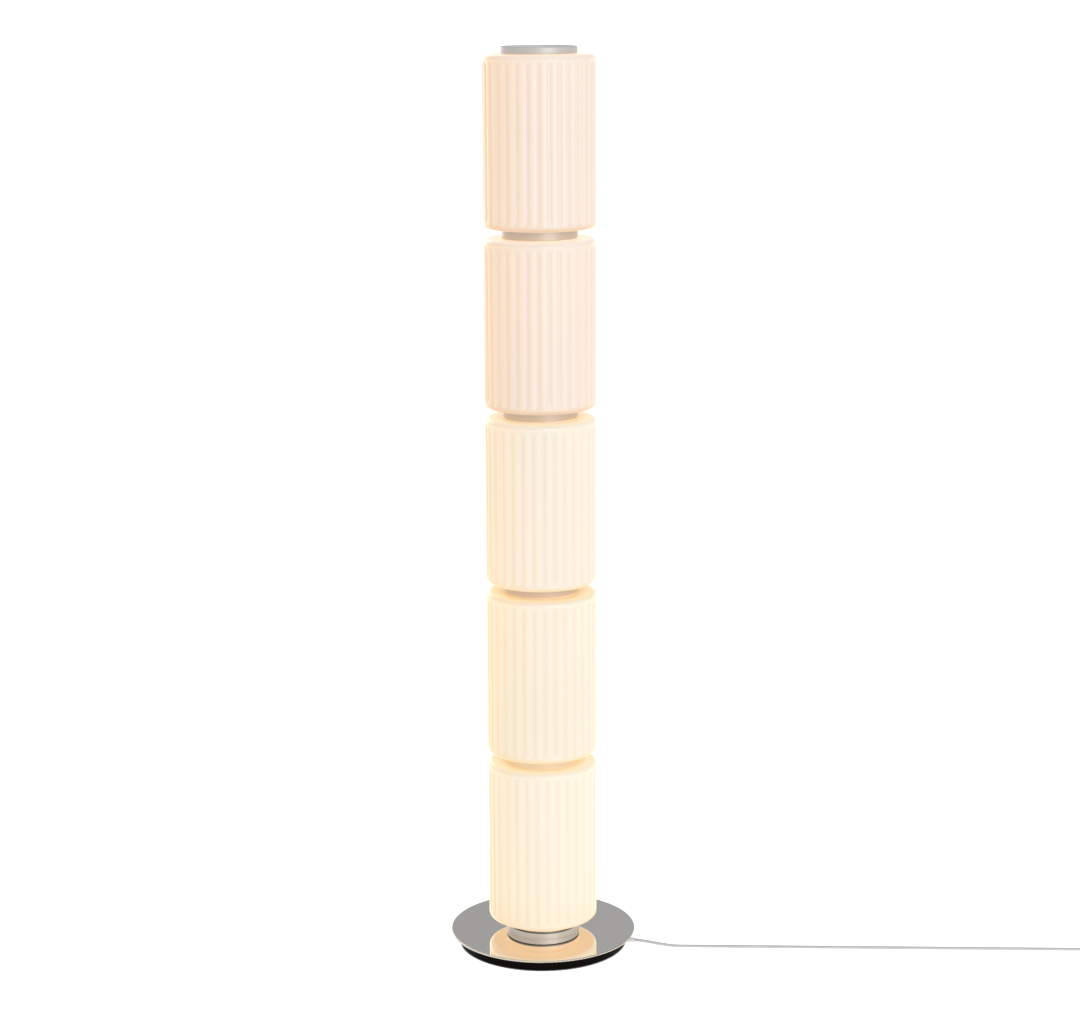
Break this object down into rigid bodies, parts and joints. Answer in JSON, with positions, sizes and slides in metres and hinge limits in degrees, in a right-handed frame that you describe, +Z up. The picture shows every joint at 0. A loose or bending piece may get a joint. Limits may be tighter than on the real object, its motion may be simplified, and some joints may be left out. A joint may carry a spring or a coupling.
{
  "type": "column floor lamp",
  "caption": "Column floor lamp with stacked fluted opal glass cylinders parted by brushed aluminium rings, on a mirror disc over a dark plinth, with a cord, foot switch and plug.",
  "frame": {"origin": "on the floor, under the axis of the mast", "axes": "+Z up along the mast; -Y towards the viewer of the picture; the cord leaves towards +X"},
  "size_m": [1.235, 0.3, 1.444],
  "materials": {
    "opal_glass": "fluted opal, lit",
    "brushed_aluminium": "turned and brushed round",
    "mirror_steel": "mirror polished",
    "black_plinth": "satin black",
    "black_rubber": "matt",
    "pale_silicone": "milky, soft",
    "sheet_steel": "dull",
    "fastener_steel": "plated",
    "turned_steel": "turned",
    "brass_nut": "turned",
    "cast_aluminium": "cast, machined",
    "extruded_aluminium": "extruded",
    "light_board": "white board with a warm bead",
    "pale_cord": "smooth sheath",
    "pale_plastic": "moulded satin",
    "button_plastic": "moulded satin",
    "block_plastic": "moulded",
    "dark_plastic": "moulded"
  },
  "bodies": {
    "lamp": {"floor_pad": "black_rubber", "plinth": "black_plinth", "base_disc": "mirror_steel", "pocket_cover": "sheet_steel", "cover_screws": "fastener_steel", "mast_tube": "turned_steel", "foot_flange": "turned_steel", "foot_screws": "fastener_steel", "foot_washer": "fastener_steel", "foot_nut": "brass_nut", "foot_ring": "brushed_aluminium", "foot_seal": "black_rubber", "ring_1": "brushed_aluminium", "ring_2": "brushed_aluminium", "ring_3": "brushed_aluminium", "ring_4": "brushed_aluminium", "ring_5": "brushed_aluminium", "carrier_1": "cast_aluminium", "carrier_2": "cast_aluminium", "carrier_3": "cast_aluminium", "carrier_4": "cast_aluminium", "carrier_5": "cast_aluminium", "shade_1": "opal_glass", "shade_2": "opal_glass", "shade_3": "opal_glass", "shade_4": "opal_glass", "shade_5": "opal_glass", "gaskets_1": "pale_silicone", "gaskets_2": "pale_silicone", "gaskets_3": "pale_silicone", "gaskets_4": "pale_silicone", "gaskets_5": "pale_silicone", "heat_sink_1": "extruded_aluminium", "heat_sink_2": "extruded_aluminium", "heat_sink_3": "extruded_aluminium", "heat_sink_4": "extruded_aluminium", "heat_sink_5": "extruded_aluminium", "light_boards_1": "light_board", "light_boards_2": "light_board", "light_boards_3": "light_board", "light_boards_4": "light_board", "light_boards_5": "light_board", "end_plate": "cast_aluminium", "end_nut": "brass_nut", "top_cap": "brushed_aluminium", "terminal_block": "block_plastic", "mast_leads": "block_plastic", "base_cord": "pale_cord", "cord_gland": "pale_plastic", "power_cord": "pale_cord", "switch_base": "pale_plastic", "switch_cover": "pale_plastic", "switch_block": "dark_plastic", "switch_reliefs": "pale_plastic", "cord_tail": "pale_cord", "cord_coil": "pale_cord", "plug_body": "pale_plastic", "plug_pins": "brass_nut"},
    "button": {"switch_button": "button_plastic"}
  },
  "joints": [
    {"name": "switch_press", "type": "slide", "parent": "lamp", "child": "button", "axis": [0, 0, -1], "range_m": [0, 0.0025], "stiffness_N_per_m": 600}
  ]
}
